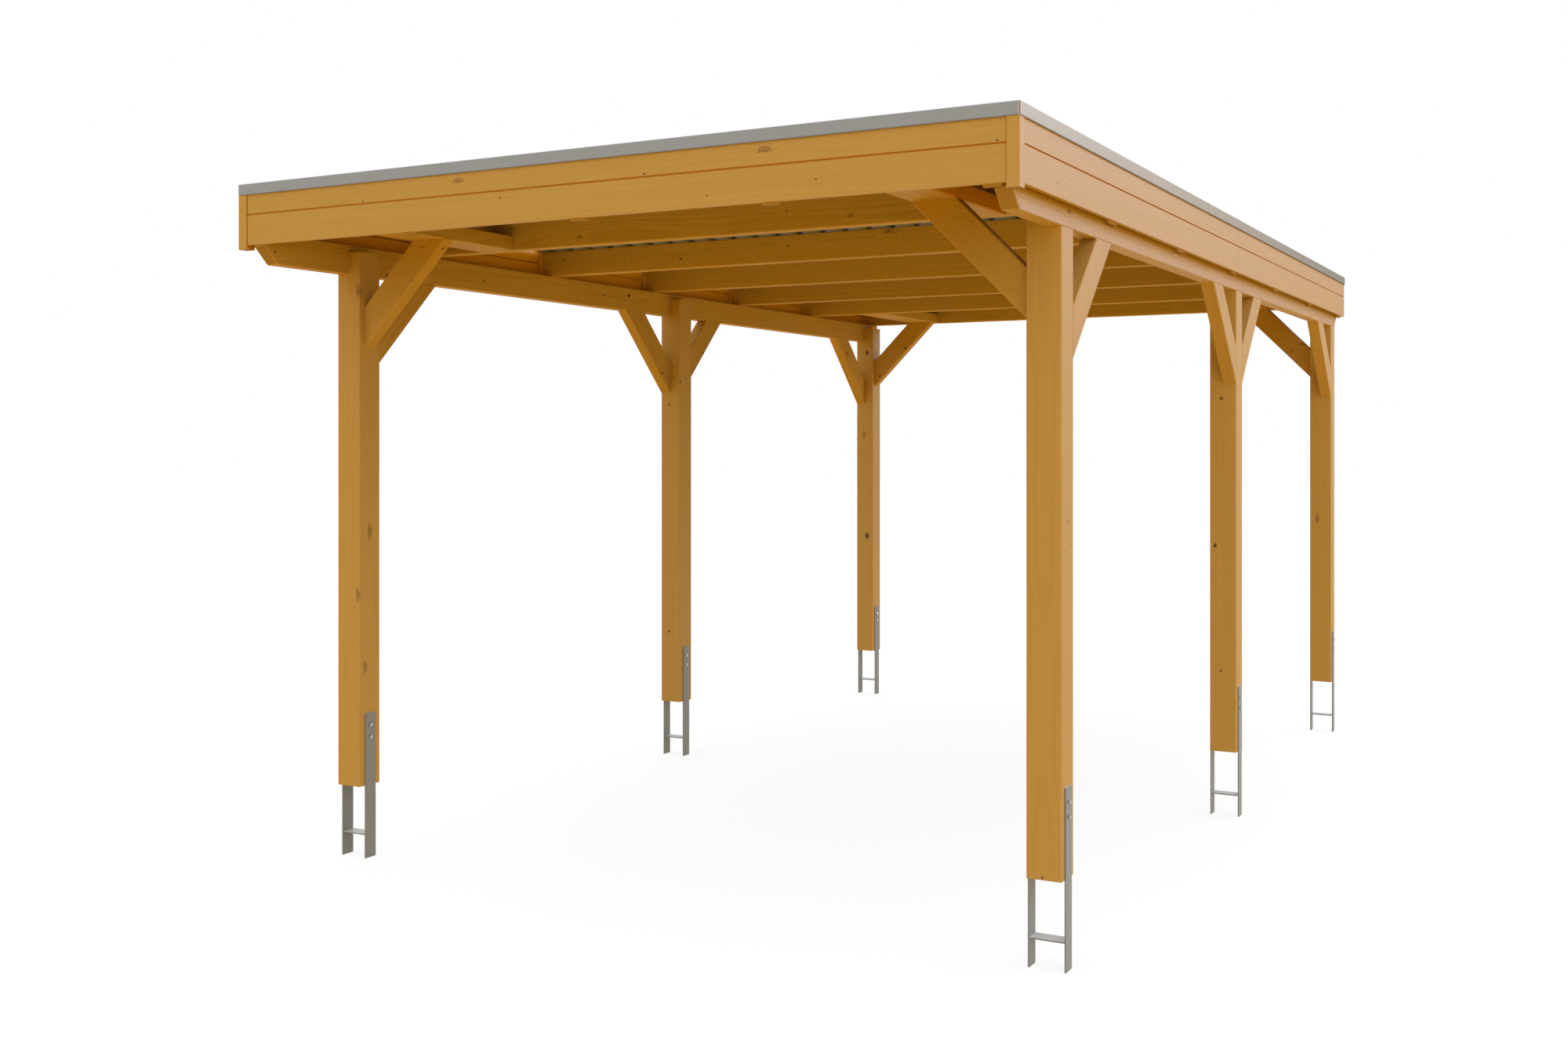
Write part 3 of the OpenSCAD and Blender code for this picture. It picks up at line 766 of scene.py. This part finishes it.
# What the floor sends back to the timbers, and what is seen of it: a glow, and a grey that keeps
# the shadow.
FLOOR_BOUNCE = rgb(0.78, 0.497, 0.05)
FLOOR_GLOW, FLOOR_SHADE = 0.82, rgb(0.24, 0.24, 0.24)
FLOOR_HALF, FLOOR_CELLS = 60.0, 8


def add_floor():
    bm = bmesh.new()
    bmesh.ops.create_grid(bm, x_segments=FLOOR_CELLS, y_segments=FLOOR_CELLS, size=FLOOR_HALF)
    mesh = bpy.data.meshes.new("floor")
    bm.to_mesh(mesh)
    bm.free()
    floor = bpy.data.objects.new("floor", mesh)
    bpy.context.scene.collection.objects.link(floor)
    mat = bpy.data.materials.new("floor_white")
    mat.use_nodes = True
    g = Graph(mat.node_tree)
    g.tree.nodes.clear()
    real = g.node("ShaderNodeBsdfDiffuse", {"Color": FLOOR_BOUNCE})
    glow = g.node("ShaderNodeEmission", {"Color": WHITE, "Strength": FLOOR_GLOW})
    shade = g.node("ShaderNodeBsdfDiffuse", {"Color": FLOOR_SHADE})
    pale = g.node("ShaderNodeAddShader", {0: glow.outputs[0], 1: shade.outputs[0]})
    both = g.node("ShaderNodeMixShader", {0: seen_ray(g), 1: real.outputs[0], 2: pale.outputs[0]})
    g.put(both.outputs[0], g.node("ShaderNodeOutputMaterial").inputs["Surface"])
    mesh.materials.append(mat)


LAMP_AT, LAMP_AIM = (8.0, 12.0, 9.0), (1.6, 0.0, 2.6)
LAMP_SIZE, LAMP_POWER, LAMP_COLOUR = (6.0, 4.0), 2400.0, (0.50, 0.64, 1.0)


def add_lamp():
    """A cool lamp behind on the right, for the sheen on the right-hand faces only."""
    lamp = bpy.data.lights.new("side", "AREA")
    lamp.shape = "RECTANGLE"
    lamp.size, lamp.size_y = LAMP_SIZE
    lamp.energy = LAMP_POWER
    lamp.color = LAMP_COLOUR
    made = bpy.data.objects.new("side", lamp)
    made.location = LAMP_AT
    made.visible_camera = False
    made.visible_diffuse = False
    made.rotation_mode = "QUATERNION"
    made.rotation_quaternion = (Vector(LAMP_AIM) - Vector(LAMP_AT)).to_track_quat("-Z", "Y")
    bpy.context.scene.collection.objects.link(made)


# The photo's camera: level, with the picture shifted.
CAMERA_AT, CAMERA_YAW = (3.2308, -7.2822, 1.7123), 28.5105
SENSOR, LENS, SHIFT_Y, CLIP_END = 36.0, 36.5925, -0.04959, 200.0


def add_camera():
    data = bpy.data.cameras.new("camera")
    data.sensor_width = SENSOR
    data.lens = LENS
    data.shift_y = SHIFT_Y
    data.clip_end = CLIP_END
    camera = bpy.data.objects.new("camera", data)
    camera.location = CAMERA_AT
    camera.rotation_euler = (math.radians(90.0), 0.0, math.radians(CAMERA_YAW))
    bpy.context.scene.collection.objects.link(camera)
    bpy.context.scene.camera = camera


BOLT_GREY, SCREW_GREY = (0.50, 0.49, 0.47), (0.50, 0.50, 0.49)
# The sleeves' pale grey: a painted highlight along the trim joints.
SLEEVE_HIGHLIGHT_GREY = (0.70, 0.69, 0.68)

bpy.context.scene.view_settings.view_transform = "Standard"
dress_wood()
dress_metal()
add_bolts(metal("zinc_bolts", BOLT_GREY, spread=0.06, rough=0.30, metallic=1.0, scale=300.0))
add_roof_screws(metal("zinc_screws", SCREW_GREY, spread=0.06, rough=0.35, metallic=1.0, scale=300.0))
add_trim_sleeves(metal("sleeve_aluminium_highlight", SLEEVE_HIGHLIGHT_GREY, spread=0.04, rough=0.50, metallic=0.08,
                       scale=40.0, shine=0.22))
add_world()
add_floor()
add_lamp()
add_camera()
